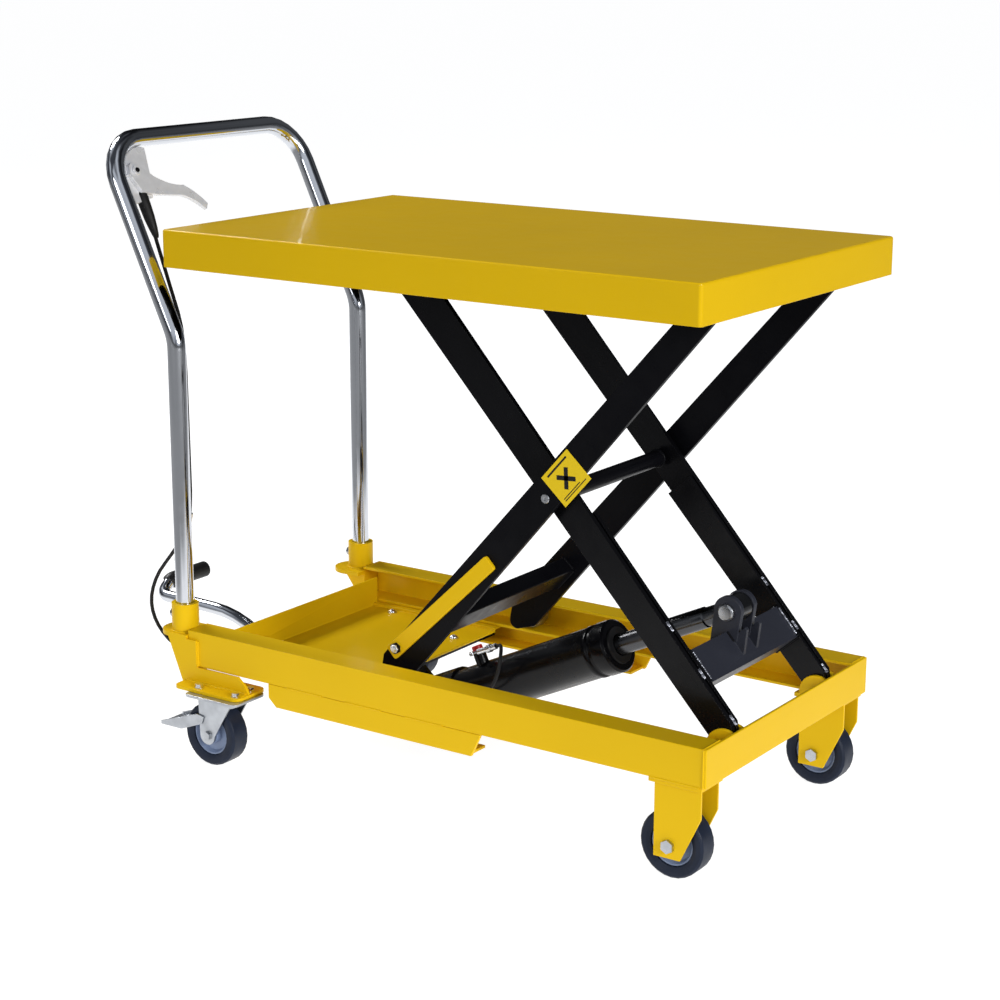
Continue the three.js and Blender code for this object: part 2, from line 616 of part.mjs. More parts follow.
function makeHydraulics() {
  const { barrelRadius, boreRadius, ramRadius, ramLength } = unit;
  const mouth = 191;
  const tail = 478;
  const barrelPoints = [
    [boreRadius, mouth], [barrelRadius - 1, mouth], [barrelRadius + 1.5, mouth + 3],
    [barrelRadius + 1.5, mouth + 22], [barrelRadius - 1.5, mouth + 24], [barrelRadius - 1.5, mouth + 29],
    [barrelRadius + 1, mouth + 31], [barrelRadius + 1, mouth + 36], [barrelRadius, mouth + 38],
    [barrelRadius, tail], [0, tail], [0, tail - 14], [boreRadius, tail - 14], [boreRadius, mouth],
  ];
  const boss = new THREE.CylinderGeometry(9, 9, 18, 16);
  boss.rotateZ(Math.PI / 2);
  boss.translate(valve.above - 9 - GAP, valve.back, valve.side);
  add("barrel", join(placeUnit(lathe(barrelPoints)), placeUnit(boss)), paint.black);

  // The small arm on the release valve, which the cable pulls.
  const armShape = new THREE.Shape();
  armShape.absarc(0, 0, 7, Math.PI * 0.5, Math.PI * 1.5, false);
  armShape.lineTo(valve.reach, -4);
  armShape.absarc(valve.reach, 0, 4, -Math.PI / 2, Math.PI / 2, false);
  const valveArm = new THREE.ExtrudeGeometry(armShape, { depth: 4, bevelEnabled: false, curveSegments: 8 });
  valveArm.rotateY(-Math.PI / 2);
  valveArm.translate(valve.above + 4, valve.back, valve.side);
  add("release_valve_arm", placeUnit(valveArm), paint.zinc);

  const neck = 12.4;
  const ramPoints = [
    [0, 8], [neck, 8], [neck, 44], [ramRadius, 46], [ramRadius, ramLength - 2], [ramRadius - 2, ramLength],
    [0, ramLength],
  ];
  const ram = placeUnit(lathe(ramPoints, 24));
  const eye = barY(unit.lugX, unit.lugZ, 18, -12.5, 12.5, 24);
  add("ram", cut(join(ram, eye), barY(unit.lugX, unit.lugZ, 8, -20, 20, 20)), paint.chrome);

  const side = outline([[-86, 34], [-78, 26], [26, 26], [34, 40], [30, 92], [-20, 96], [-86, 84]]);
  const body = sidePlate(side, -58, 30);
  const collar = placeUnit(lathe([[0, 462], [39, 462], [39, 506], [0, 506]], 28));
  const seatEnd = tail + GAP;
  const seatRadius = barrelRadius + GAP;
  const seat = placeUnit(lathe([[0, 300], [seatRadius, 300], [seatRadius, seatEnd], [0, seatEnd]], 32));
  const basePin = barY(unit.pinX, unit.pinZ, pivot.bolt, -68, 40, 16);
  const pedalEar = outline([[-84, 48], [-104, 50], [-111, 58], [-111, 68], [-104, 75], [-84, 78]]);
  const pedalEars = [[-22, -15], [15, 22]].map(([a, b]) => sidePlate(pedalEar, pedal.y + a, pedal.y + b));
  const pedalPin = barY(pedal.hingeX, pedal.hingeZ, 5, pedal.y - 24, pedal.y + 24, 12);
  const pump = join(cut(join(body, collar), seat), basePin, ...pedalEars, pedalPin);
  add("pump_block", pump, paint.black);

  const { hingeX, hingeZ, gripX, gripZ, gripEnd, y, tube } = pedal;
  const steps = 5;
  const tubeEnd = gripEnd - 6;
  const corners = [
    [hingeX - 4, y, hingeZ], [-280, y, 86], [-354, y, 146], [-519, y, 150], [gripX, y + 22, gripZ],
    [gripX, tubeEnd, gripZ],
  ];
  const path = bentPath(corners, [120, 165, 14, 14], steps);
  const hub = barY(hingeX, hingeZ, 12, y - 14, y + 14, 20);
  const bore = barY(hingeX, hingeZ, 5.4, y - 20, y + 20, 12);
  add("pump_pedal", cut(join(sweep(path, tube, 16), hub), bore), paint.chrome);
  // The grip covers the last bend and closes over the tube's end.
  const end = (past) => new THREE.Vector3(gripX, past, gripZ);
  const outside = sweep([...path.slice(-steps - 2), end(gripEnd)], 12, 20);
  const inside = sweep([...path.slice(-steps - 3), end(tubeEnd + 0.5)], tube + GAP, 16);
  add("pedal_grip", cut(outside, inside), paint.rubber);
}

makeTable();
makeInnerArms();
makeOuterArms();
makeRollers();
makeBase();
makeCorners();
makeHandle();
makeLever();
makeCable();
makeFrontWheels();
makeCasters();
makeHydraulics();

export default object;
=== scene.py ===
"""Scissor lift table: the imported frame, finished with rounded sheet metal, welds, fasteners and paint."""
import json
import math

import bmesh
import bpy
from mathutils import Matrix, Vector


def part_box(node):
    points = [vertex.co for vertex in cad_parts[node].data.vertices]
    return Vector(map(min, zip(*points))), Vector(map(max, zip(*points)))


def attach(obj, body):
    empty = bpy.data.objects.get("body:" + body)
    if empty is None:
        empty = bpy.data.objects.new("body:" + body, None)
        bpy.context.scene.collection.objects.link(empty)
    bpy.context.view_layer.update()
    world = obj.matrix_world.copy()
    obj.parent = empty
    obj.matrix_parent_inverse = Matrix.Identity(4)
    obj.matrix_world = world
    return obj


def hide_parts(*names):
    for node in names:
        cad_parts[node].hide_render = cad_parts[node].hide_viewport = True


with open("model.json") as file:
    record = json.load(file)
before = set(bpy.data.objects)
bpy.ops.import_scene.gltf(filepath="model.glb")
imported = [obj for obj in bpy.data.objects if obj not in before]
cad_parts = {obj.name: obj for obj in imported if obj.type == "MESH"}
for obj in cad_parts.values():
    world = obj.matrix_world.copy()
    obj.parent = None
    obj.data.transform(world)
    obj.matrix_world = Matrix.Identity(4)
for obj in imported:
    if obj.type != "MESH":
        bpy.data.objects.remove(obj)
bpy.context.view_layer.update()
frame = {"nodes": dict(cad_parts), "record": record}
scene = bpy.context.scene

MM = 0.001
X, Y, Z = Vector((1, 0, 0)), Vector((0, 1, 0)), Vector((0, 0, 1))
SIDES = (-1, 1)  # the near side of the trolley, then the far side

# Places of the CAD that the added details hang on, in millimetres.
ARM_FRONT, ARM_REAR = 507, 6      # the arms' end pins, fore and aft
ARM_LOW, ARM_HIGH = 155, 717      # the arms' end pins, low and high
CENTRE_PIN = (256.5, 436)         # x and z of the pin through the middle of the arms
RAM_PIN = (444, 288)              # x and z of the clevis pin
UNIT_SLOPE = math.atan(0.4737)    # how steeply the hydraulic unit lies
POST = (-318, 198)                # x and |y| of the handle's posts


def at(x, y, z):
    """A point given in millimetres."""
    return Vector((x, y, z)) * MM


# ---------------------------------------------------------------- camera, light and floor
def make_camera():
    """A long lens at the near front corner, looking slightly down."""
    azimuth, elevation, roll = (math.radians(a) for a in (34.67, 14.17, 0.12))
    back = Vector((
        math.sin(azimuth) * math.cos(elevation),
        -math.cos(azimuth) * math.cos(elevation),
        math.sin(elevation),
    ))
    level = Vector((math.cos(azimuth), math.sin(azimuth), 0))
    above = back.cross(level)
    right = level * math.cos(roll) + above * math.sin(roll)
    up = back.cross(right)
    data = bpy.data.cameras.new("camera")
    data.sensor_width = 36
    data.lens = 80.44
    data.clip_start, data.clip_end = 0.05, 200
    camera = bpy.data.objects.new("camera", data)
    place = Matrix((right, up, back)).transposed().to_4x4()
    place.translation = (1.74504, -2.40813, 1.11553)
    camera.matrix_world = place
    scene.collection.objects.link(camera)
    scene.camera = camera


def soft_light(name, place, aim, wide, tall, watts):
    """A rectangular lamp in metres, turned to face a point."""
    data = bpy.data.lights.new(name, "AREA")
    data.shape = "RECTANGLE"
    data.size, data.size_y = wide, tall
    data.energy = watts
    lamp = bpy.data.objects.new(name, data)
    lamp.location = place
    lamp.rotation_mode = "QUATERNION"
    lamp.rotation_quaternion = (Vector(place) - Vector(aim)).to_track_quat("Z", "Y")
    scene.collection.objects.link(lamp)


def make_studio():
    """A dim room with brighter patches, over a floor that glows white, and three soft lamps."""
    world = bpy.data.worlds.new("studio")
    world.use_nodes = True
    scene.world = world
    nodes, links = world.node_tree.nodes, world.node_tree.links
    background = nodes["Background"]
    place = nodes.new("ShaderNodeTexCoord")
    patches = nodes.new("ShaderNodeTexNoise")
    patches.inputs["Scale"].default_value = 1.3
    patches.inputs["Detail"].default_value = 1.0
    ramp = nodes.new("ShaderNodeValToRGB")
    ramp.color_ramp.elements[0].position = 0.42
    ramp.color_ramp.elements[0].color = (0.055, 0.06, 0.07, 1)
    ramp.color_ramp.elements[1].position = 0.6
    ramp.color_ramp.elements[1].color = (0.62, 0.65, 0.7, 1)
    split = nodes.new("ShaderNodeSeparateXYZ")
    fade = nodes.new("ShaderNodeMapRange")
    fade.inputs["From Min"].default_value = -0.1
    fade.inputs["From Max"].default_value = 0.6
    fade.inputs["To Min"].default_value = 1.0
    fade.inputs["To Max"].default_value = 0.12
    links.new(place.outputs["Generated"], patches.inputs["Vector"])
    links.new(patches.outputs["Fac"], ramp.inputs["Fac"])
    links.new(ramp.outputs["Color"], background.inputs["Color"])
    links.new(place.outputs["Generated"], split.inputs["Vector"])
    links.new(split.outputs["Y"], fade.inputs["Value"])
    links.new(fade.outputs["Result"], background.inputs["Strength"])

    soft_light("front", (5.9, -1.7, 2.1), (0, 0, 0.4), 2.2, 2.2, 270)
    soft_light("near", (-0.6, -6.2, 2.3), (0, 0, 0.4), 2.6, 1.6, 85)
    soft_light("rear", (-3.7, 0.5, 3.8), (0, 0, 0.2), 1.6, 1.6, 165)

    bpy.ops.mesh.primitive_plane_add(size=120, location=(0, 0, -0.0005))
    floor = bpy.context.object
    floor.name = "floor"
    white = finish("floor_white", (0.32, 0.32, 0.32), 0.9, bump=0, specular=0)
    shader = white.node_tree.nodes["Principled BSDF"]
    shader.inputs["Emission Color"].default_value = (1, 1, 1, 1)
    # The floor glows under and behind the trolley, and darkens in front of it and at the sides.
    nodes, links = white.node_tree.nodes, white.node_tree.links
    place = nodes.new("ShaderNodeTexCoord")

    def math_node(operation, first, second=None, value=None):
        made = nodes.new("ShaderNodeMath")
        made.operation = operation
        links.new(first, made.inputs[0])
        if second is not None:
            links.new(second, made.inputs[1])
        if value is not None:
            made.inputs[1].default_value = value
        return made.outputs[0]

    def distance_along(way):
        made = nodes.new("ShaderNodeVectorMath")
        made.operation = "DOT_PRODUCT"
        made.inputs[1].default_value = way
        links.new(place.outputs["Object"], made.inputs[0])
        return made.outputs["Value"]

    forward = distance_along((0.569, -0.822, 0))
    sideways = math_node("ABSOLUTE", distance_along((0.822, 0.569, 0)))
    reach = math_node("SUBTRACT", math_node("MULTIPLY", forward, value=-0.25), value=-0.82)
    outside = math_node("SUBTRACT", sideways, reach)
    in_front = math_node("SUBTRACT", forward, value=0.8)
    fade = nodes.new("ShaderNodeMapRange")
    fade.inputs["From Min"].default_value = 0.0
    fade.inputs["From Max"].default_value = 0.4
    fade.inputs["To Min"].default_value = 0.93
    fade.inputs["To Max"].default_value = 0.06
    links.new(math_node("MAXIMUM", outside, in_front), fade.inputs["Value"])
    links.new(fade.outputs["Result"], shader.inputs["Emission Strength"])
    floor.data.materials.append(white)
    scene.view_settings.view_transform = "Standard"


# ---------------------------------------------------------------- finishes
def finish(name, colour, roughness, metallic=0.0, coat=0.0, specular=0.5, vary=0.0, vary_scale=6.0,
           rough_vary=0.0, rough_scale=40.0, bump=0.05, bump_scale=900.0, bump_depth=0.0002):
    """A procedural finish: blotches of colour, uneven gloss and a fine relief."""
    material = bpy.data.materials.new(name)
    material.use_nodes = True
    nodes, links = material.node_tree.nodes, material.node_tree.links
    shader = nodes["Principled BSDF"]
    shader.inputs["Base Color"].default_value = (*colour, 1)
    shader.inputs["Roughness"].default_value = roughness
    shader.inputs["Metallic"].default_value = metallic
    shader.inputs["Specular IOR Level"].default_value = specular
    shader.inputs["Coat Weight"].default_value = coat
    shader.inputs["Coat Roughness"].default_value = 0.06
    place = nodes.new("ShaderNodeTexCoord")

    def noise(scale, detail):
        made = nodes.new("ShaderNodeTexNoise")
        made.inputs["Scale"].default_value = scale
        made.inputs["Detail"].default_value = detail
        links.new(place.outputs["Object"], made.inputs["Vector"])
        return made.outputs["Fac"]

    def remap(value, low, high):
        made = nodes.new("ShaderNodeMapRange")
        made.inputs["From Min"].default_value = 0.3
        made.inputs["From Max"].default_value = 0.7
        made.inputs["To Min"].default_value = low
        made.inputs["To Max"].default_value = high
        links.new(value, made.inputs["Value"])
        return made.outputs["Result"]

    if vary:
        shade = nodes.new("ShaderNodeHueSaturation")
        shade.inputs["Color"].default_value = (*colour, 1)
        links.new(remap(noise(vary_scale, 3), 1 - vary, 1 + vary), shade.inputs["Value"])
        links.new(shade.outputs["Color"], shader.inputs["Base Color"])
    if rough_vary:
        low, high = max(0.02, roughness - rough_vary), roughness + rough_vary
        links.new(remap(noise(rough_scale, 4), low, high), shader.inputs["Roughness"])
    if bump:
        relief = nodes.new("ShaderNodeBump")
        relief.inputs["Strength"].default_value = bump
        relief.inputs["Distance"].default_value = bump_depth
        links.new(noise(bump_scale, 2), relief.inputs["Height"])
        links.new(relief.outputs["Normal"], shader.inputs["Normal"])
    return material


YELLOW = finish("yellow_enamel", (0.755, 0.475, 0.0045), 0.34, specular=0.1, vary=0.02, rough_vary=0.02,
                bump=0.04, bump_scale=300)
TABLE_YELLOW = finish("table_enamel", (0.755, 0.475, 0.0045), 0.3, specular=0.04, coat=0.2, vary=0.02,
                      rough_vary=0.02, bump=0.03, bump_scale=14, bump_depth=0.0006)
BLACK = finish("black_enamel", (0.0035, 0.0035, 0.0047), 0.32, specular=0.08, vary=0.2, rough_vary=0.08,
               bump=0.12, bump_scale=420)
BLACK_GLOSS = finish("black_gloss", (0.0028, 0.0028, 0.0036), 0.24, specular=0.15, vary=0.2, rough_vary=0.06,
                     bump=0.12, bump_scale=300)
CHROME = finish("chrome_plate", (0.62, 0.64, 0.68), 0.1, metallic=1, vary=0.03, rough_vary=0.04,
                rough_scale=60, bump=0.03, bump_scale=200)
# Black enamel with a lighter bluish base colour for the inner crossmember: painted sheen, standing in for the
# lit look of its front face.
BLACK_PAINTED_SHEEN = finish("black_painted_sheen", (0.022, 0.024, 0.034), 0.42, specular=0.35, vary=0.1, rough_vary=0.05,
                     bump=0.12, bump_scale=300)
RAM_STEEL = finish("ram_steel", (0.09, 0.092, 0.098), 0.26, metallic=1, vary=0.06, rough_vary=0.06,
                   bump=0.08, bump_scale=300)
ZINC = finish("zinc_plate", (0.46, 0.48, 0.51), 0.34, metallic=1, vary=0.12, vary_scale=60, rough_vary=0.1,
              bump=0.1, bump_scale=600)
BRIGHT = finish("bright_zinc", (0.74, 0.75, 0.77), 0.26, metallic=1, vary=0.1, vary_scale=90, rough_vary=0.08,
                bump=0.1, bump_scale=600)
STEEL = finish("turned_steel", (0.45, 0.46, 0.48), 0.3, metallic=1, vary=0.08, vary_scale=80, rough_vary=0.08,
               bump=0.1, bump_scale=700)
CAST = finish("cast_alloy", (0.76, 0.77, 0.8), 0.33, metallic=0.35, vary=0.05, vary_scale=90, rough_vary=0.08,
              bump=0.25, bump_scale=900)
# Lighter grey metal for the tie welds on the black inner arms: the welds are real, and their lighter colour
# is painted highlight for the glints they catch.
WELD_PAINTED_HIGHLIGHT = finish("weld_painted_highlight", (0.3, 0.31, 0.35), 0.38, metallic=1, vary=0.25, vary_scale=200, rough_vary=0.1,
              bump=0.2, bump_scale=600)
TREAD = finish("wheel_tread", (0.012, 0.017, 0.032), 0.42, specular=0.15, vary=0.12, vary_scale=50,
               rough_vary=0.1, bump=0.2, bump_scale=700)
HUB = finish("wheel_hub", (0.19, 0.24, 0.36), 0.36, specular=0.4, vary=0.06, vary_scale=60, rough_vary=0.08,
             bump=0.15, bump_scale=800)
RUBBER = finish("black_rubber", (0.006, 0.006, 0.0065), 0.5, specular=0.3, vary=0.15, vary_scale=80,
                rough_vary=0.1, bump=0.25, bump_scale=900)
STICKER = finish("sticker_yellow", (0.8, 0.56, 0.01), 0.4, specular=0.2, vary=0.03, rough_vary=0.05)
INK = finish("sticker_ink", (0.012, 0.012, 0.012), 0.45, specular=0.2, vary=0.1, bump=0.05)
RED = finish("red_plastic", (0.6, 0.012, 0.01), 0.35, vary=0.05, vary_scale=90, bump=0.1, bump_scale=700)


# ---------------------------------------------------------------- pieces
def link(name, mesh, material, body):
    """Puts a mesh in the scene with its finish, riding on a body."""
    piece = bpy.data.objects.new(name, mesh)
    scene.collection.objects.link(piece)
    piece.data.materials.clear()
    piece.data.materials.append(material)
    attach(piece, body)
    return piece


def smooth(mesh, angle=32):
    """Smooth shading, with edges sharper than the angle in degrees kept crisp."""
    mesh.polygons.foreach_set("use_smooth", [True] * len(mesh.polygons))
    mesh.set_sharp_from_angle(angle=math.radians(angle))


def from_bmesh(name, bm, material, body, angle=32):
    """Turns a finished bmesh into a piece of the scene."""
    bmesh.ops.recalc_face_normals(bm, faces=bm.faces)
    mesh = bpy.data.meshes.new(name)
    bm.to_mesh(mesh)
    bm.free()
    smooth(mesh, angle)
    return link(name, mesh, material, body)


SLOTS = {entry["node"]: entry["material_slot"] for entry in frame["record"]["subparts"]}
BODY_OF = {node: body for body, nodes in frame["record"]["behaviour"]["bodies"].items() for node in nodes}


def rounded(node, material, radius=1.0, sides=3, weigh=None):
    """The CAD node with its sharp edges rolled over; weigh(middle, direction) picks each edge's share."""
    mesh = frame["nodes"][node].data.copy()
    bm = bmesh.new()
    bm.from_mesh(mesh)
    bmesh.ops.remove_doubles(bm, verts=bm.verts, dist=2e-6)
    bmesh.ops.dissolve_limit(bm, angle_limit=math.radians(1.0), verts=bm.verts, edges=bm.edges)
    bmesh.ops.recalc_face_normals(bm, faces=bm.faces)
    share = bm.edges.layers.float.get("bevel_weight_edge") or bm.edges.layers.float.new("bevel_weight_edge")
    for edge in bm.edges:
        if len(edge.link_faces) != 2 or edge.calc_face_angle(0) < math.radians(32):
            continue
        middle = (edge.verts[0].co + edge.verts[1].co) / 2
        way = (edge.verts[1].co - edge.verts[0].co).normalized()
        edge[share] = 1.0 if weigh is None else weigh(middle, way)
    bm.to_mesh(mesh)
    bm.free()
    mesh.name = node + "_skin"
    smooth(mesh)
    piece = link(node + "_skin", mesh, material, BODY_OF[node])
    if radius:
        bevel = piece.modifiers.new("rolled_edges", "BEVEL")
        bevel.width = radius * MM
        bevel.segments = sides
        bevel.limit_method = "WEIGHT"
        bevel.use_clamp_overlap = node != "table_top"
        bevel.harden_normals = True
        bevel.miter_outer = "MITER_ARC"
    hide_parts(node)
    return piece


def ring_frame(axis):
    """Two directions at right angles to an axis and to each other."""
    axis = axis.normalized()
    across = axis.cross(Z if abs(axis.z) < 0.9 else X).normalized()
    return across, axis.cross(across)


def add_turned(bm, points, centre, axis, sides=24):
    """Adds a piece turned about an axis from [radius, height] points in millimetres."""
    across, other = ring_frame(axis)
    axis = axis.normalized()
    rings = []
    for radius, height in points:
        middle = centre + axis * height * MM
        if radius < 1e-6:
            rings.append([bm.verts.new(middle)])
            continue
        ring = []
        for k in range(sides):
            turn = 2 * math.pi * k / sides
            way = across * math.cos(turn) + other * math.sin(turn)
            ring.append(bm.verts.new(middle + way * radius * MM))
        rings.append(ring)
    for low, high in zip(rings, rings[1:]):
        for k in range(max(len(low), len(high))):
            n = (k + 1) % sides
            if len(low) == 1:
                bm.faces.new((low[0], high[n], high[k]))
            elif len(high) == 1:
                bm.faces.new((low[k], low[n], high[0]))
            else:
                bm.faces.new((low[k], low[n], high[n], high[k]))


def add_hex(bm, centre, axis, across_flats, height):
    """Adds a hexagon head with a turned-off crown."""
    r = across_flats / math.sqrt(3)
    crown = 0.12 * across_flats
    across, other = ring_frame(axis)
    axis = axis.normalized()

    def ring(radius, h, rounded_off):
        out = []
        for k in range(12):
            turn = math.pi * k / 6
            corner = radius if k % 2 == 0 else radius * math.cos(math.pi / 6)
            size = min(corner, across_flats * 0.5) if rounded_off else corner
            way = across * math.cos(turn) + other * math.sin(turn)
            out.append(bm.verts.new(centre + (axis * h + way * size) * MM))
        return out

    rings = [ring(r, 0, False), ring(r, height - crown * 0.6, False), ring(r, height, True)]
    for low, high in zip(rings, rings[1:]):
        for k in range(12):
            bm.faces.new((low[k], low[(k + 1) % 12], high[(k + 1) % 12], high[k]))
    bm.faces.new(rings[-1])
    bm.faces.new(list(reversed(rings[0])))


def add_bolt(bm, centre, axis, size=8.0, washer=True, nut=True, dome=False):
    """Adds a bolt head on a surface: washer, hexagon or dome, and the thread's end."""
    axis = axis.normalized()
    base = centre
    if washer:
        add_turned(bm, [(0, 0), (size, 0), (size, 1.1), (size - 0.3, 1.4), (0, 1.4)], base, axis, 24)
        base = base + axis * 1.3 * MM
    if dome:
        turns = [i * math.pi / 12 for i in range(6)]
        crown = [(size * 0.85 * math.cos(t), size * 0.5 * math.sin(t)) for t in turns]
        socket = [(size * 0.3, size * 0.48), (size * 0.26, size * 0.3), (0, size * 0.3)]
        add_turned(bm, [(0, 0), (size * 0.85, 0)] + crown + socket, base, axis, 24)
        return
    add_hex(bm, base, axis, size * 1.6, size * 0.72)
    if nut:
        top = base + axis * size * 0.7 * MM
        end = [(0, 0), (size * 0.5, 0), (size * 0.5, size * 0.3), (size * 0.4, size * 0.4), (0, size * 0.4)]
        add_turned(bm, end, top, axis, 16)


def add_tube(bm, points, radius, sides=12, swell=None):
    """Adds a bar through points; swell(distance) scales its radius along the way."""
    rings = []
    travelled = 0.0
    across = None
    for i, p in enumerate(points):
        before, after = points[max(i - 1, 0)], points[min(i + 1, len(points) - 1)]
        along = (after - before).normalized()
        travelled += (p - before).length
        if across is None:
            across, _ = ring_frame(along)
        across = (across - along * across.dot(along)).normalized()
        other = along.cross(across)
        r = radius * MM * (swell(travelled / MM) if swell else 1)
        rings.append([
            bm.verts.new(p + (across * math.cos(t) + other * math.sin(t)) * r)
            for t in [2 * math.pi * k / sides for k in range(sides)]
        ])
    for low, high in zip(rings, rings[1:]):
        for k in range(sides):
            bm.faces.new((low[k], low[(k + 1) % sides], high[(k + 1) % sides], high[k]))
    bm.faces.new(list(reversed(rings[0])))
    bm.faces.new(rings[-1])


def evenly(points, step):
    """The same line with a point about every step millimetres."""
    out = [points[0]]
    for a, b in zip(points, points[1:]):
        count = max(1, round((b - a).length / (step * MM)))
        out += [a.lerp(b, (i + 1) / count) for i in range(count)]
    return out


def add_weld(bm, points, radius=2.4, pitch=3.0):
    """Adds a weld bead: overlapping ripples along a seam."""
    line = evenly(points, 0.9)
    add_tube(bm, line, radius, 8, lambda s: 0.86 + 0.14 * abs(math.sin(math.pi * s / pitch)))


def circle(centre, axis, radius, steps=48):
    """A closed ring of points about an axis, the first point repeated at the end."""
    across, other = ring_frame(axis)
    return [
        centre + (across * math.cos(t) + other * math.sin(t)) * radius * MM
        for t in [2 * math.pi * k / steps for k in range(steps + 1)]
    ]


# ---------------------------------------------------------------- folded and welded steel
table_low, table_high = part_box("table_top")


def table_edges(middle, way):
    """The platform's folds are rounder than its cut rims."""
    on_top = middle.z > table_high.z - 1 * MM
    outside = (
        min(middle.x - table_low.x, table_high.x - middle.x) < 6 * MM
        or min(middle.y - table_low.y, table_high.y - middle.y) < 6 * MM
    )
    return 1.0 if on_top and outside else 0.25


SLOT_FINISH = {
    "yellow_paint": YELLOW, "black_paint": BLACK, "chrome": CHROME, "zinc_plated": ZINC,
    "roller_steel": STEEL, "wheel_tread": TREAD, "wheel_hub": HUB, "black_rubber": RUBBER,
}
FINISH_OF = {
    "ram": RAM_STEEL, "release_lever": CAST, "release_lever_bracket": CAST, "clevis_pin": STEEL,
    "table_top": TABLE_YELLOW, "barrel": BLACK_GLOSS, "inner_arm_near": BLACK_GLOSS,
    # The inner crossmember takes the black enamel whose lighter bluish colour is painted sheen.
    "inner_arm_far": BLACK_GLOSS, "pump_block": BLACK_GLOSS, "inner_crossmember": BLACK_PAINTED_SHEEN,
}
RADIUS_OF = {
    "table_top": 3.2, "base_front_member": 1.3, "rear_tray": 0.8, "handle_tube": 0, "release_cable": 0,
    "pump_block": 2.5, "barrel": 0.6, "release_lever_bracket": 0.8, "release_lever": 1.4, "ram": 0.8,
    "caster_fork_near": 0.7, "caster_fork_far": 0.7, "inner_arm_near": 1.0, "inner_arm_far": 1.0,
    "outer_crossmember": 2.5, "inner_crossmember": 1.5, "pump_hanger": 1.2, "pump_pedal": 0.5,
}
WEIGHTS = {"table_top": table_edges}


def skin_everything():
    """Every CAD node gets its finish, and every sharp edge a small radius."""
    for node, slot in SLOTS.items():
        material = FINISH_OF.get(node, SLOT_FINISH[slot])
        rounded(node, material, RADIUS_OF.get(node, 0.9), weigh=WEIGHTS.get(node))


# ---------------------------------------------------------------- base details
def make_base_details():
    """Bolts and weld beads on the base."""
    bolts = bmesh.new()
    for x, y in ((-224, -154), (-164, -150), (-74, -104), (-224, 154), (-164, 150), (-74, 104)):
        add_bolt(bolts, at(x, y, 125.7), Z, 7, washer=True, dome=True)
    for side in SIDES:
        for x in (-262, -196):
            for y in (206, 236):
                add_bolt(bolts, at(x, side * y, 108), Z, 6, nut=False)
                add_bolt(bolts, at(x, side * y, 99.7), -Z, 5.5, washer=False, nut=False)
    from_bmesh("base_bolts", bolts, BRIGHT, "base")

    clamps = bmesh.new()
    for side in SIDES:
        add_bolt(clamps, at(-336.6, side * POST[1], 194), -X, 7.5, washer=False, nut=True)
    from_bmesh("sleeve_bolts", clamps, STEEL, "base")

    welds = bmesh.new()
    for side in SIDES:
        y = side * 217
        add_weld(welds, [at(523.8, y, 131), at(523.8, y, 179)], 1.3, 2.6)
        add_weld(welds, [at(523.7, side * 215.5, 180), at(523.7, side * 178, 180)], 1.3, 2.6)
        add_weld(welds, circle(at(POST[0], side * POST[1], 173.2), Z, 19.4), 2.0, 2.8)
        add_weld(welds, [at(450, side * 216.4, 129.9), at(519, side * 216.4, 129.9)], 1.8, 2.8)
        for leg in (213.2, 168.8):
            add_weld(welds, [at(457, side * leg, 124), at(518, side * leg, 124)], 1.8, 2.8)
        for start in (-120, -20, 80):
            add_weld(welds, [at(start, side * 216.6, 129.9), at(start + 60, side * 216.6, 129.9)], 1.5, 2.8)
        for ear in (139.4, 134.2, 113.8, 108.6):
            add_weld(welds, [at(520.2, side * ear, 134), at(520.2, side * ear, 168)], 1.6, 2.6)
        add_weld(welds, [at(-278.8, side * 217.4, 131), at(-278.8, side * 217.4, 167)], 1.6, 2.8)
        add_weld(welds, [at(-298, side * 221.4, 108.2), at(-190, side * 221.4, 108.2)], 2.2, 2.8)
        add_weld(welds, [at(-301.4, side * 182, 166.8), at(-301.4, side * 216, 166.8)], 1.8, 2.8)
        add_weld(welds, [at(-346, side * 195.8, 166.8), at(-303, side * 195.8, 166.8)], 1.6, 2.8)
        add_weld(welds, [at(-346, side * 200.2, 166.8), at(-303, side * 200.2, 166.8)], 1.6, 2.8)
        add_weld(welds, [at(-113, side * 211.5, 122.3), at(-79, side * 211.5, 122.3)], 1.8, 2.8)
    from_bmesh("base_welds", welds, YELLOW, "base", 60)


